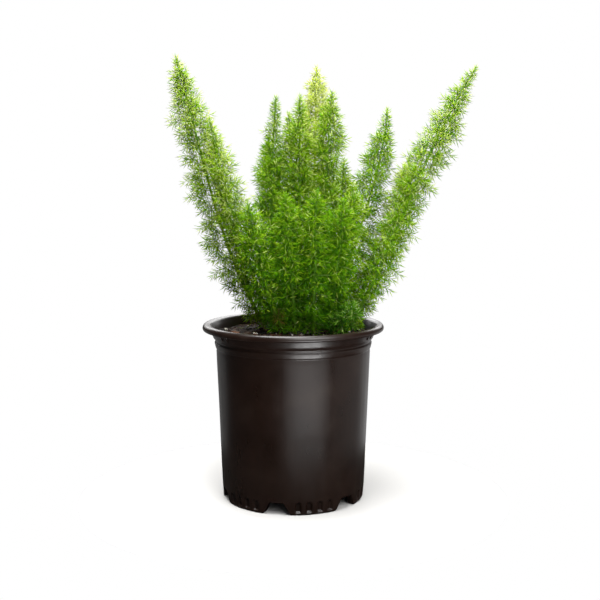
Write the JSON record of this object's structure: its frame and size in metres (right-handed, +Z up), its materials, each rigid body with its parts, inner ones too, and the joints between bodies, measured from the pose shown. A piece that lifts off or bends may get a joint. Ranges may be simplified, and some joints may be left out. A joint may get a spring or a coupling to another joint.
{
  "type": "foxtail fern in a nursery pot",
  "caption": "Foxtail fern with upright needle plumes fanning out of potting mix in a round, tapered black plastic nursery pot with notched feet.",
  "frame": {"origin": "on the ground, under the middle of the whole plant's bounding box; the pot's axis stands 27 mm towards -X and 1 mm towards -Y of it, because the plumes fan out further to the right", "axes": "+Z up along the pot's axis; -Y towards the front of the plant, +X to its right; the overall height along +Z is the longest extent"},
  "size_m": [0.2758, 0.167, 0.3986],
  "materials": {
    "pot_plastic": "black blow-moulded polyethylene, satin with a soft vertical sheen",
    "potting_mix": "damp bark and peat mix with pale perlite grains",
    "dry_stem": "dry, pale cut stem",
    "foliage": "mid green needles with a faint waxy sheen",
    "pale_foliage": "yellow-green young needles with a faint waxy sheen",
    "young_foliage": "deep green needles of a new shoot"
  },
  "bodies": {
    "root": {"pot": "pot_plastic", "soil": "potting_mix", "cut_stem": "dry_stem", "plume_outer_left": "foliage", "plume_inner_left": "foliage", "plume_front_left": "foliage", "plume_centre_left": "foliage", "plume_centre_tall": "foliage", "plume_centre_short": "foliage", "plume_centre_right": "foliage", "plume_back_middle": "pale_foliage", "plume_back_left": "foliage", "plume_back_right": "foliage", "plume_right": "foliage", "plume_inner_right": "foliage", "plume_outer_right": "foliage", "plume_low_right": "foliage", "plume_front_centre": "foliage", "plume_front_middle": "foliage", "plume_front_right": "foliage", "young_shoot": "young_foliage"}
  },
  "joints": []
}
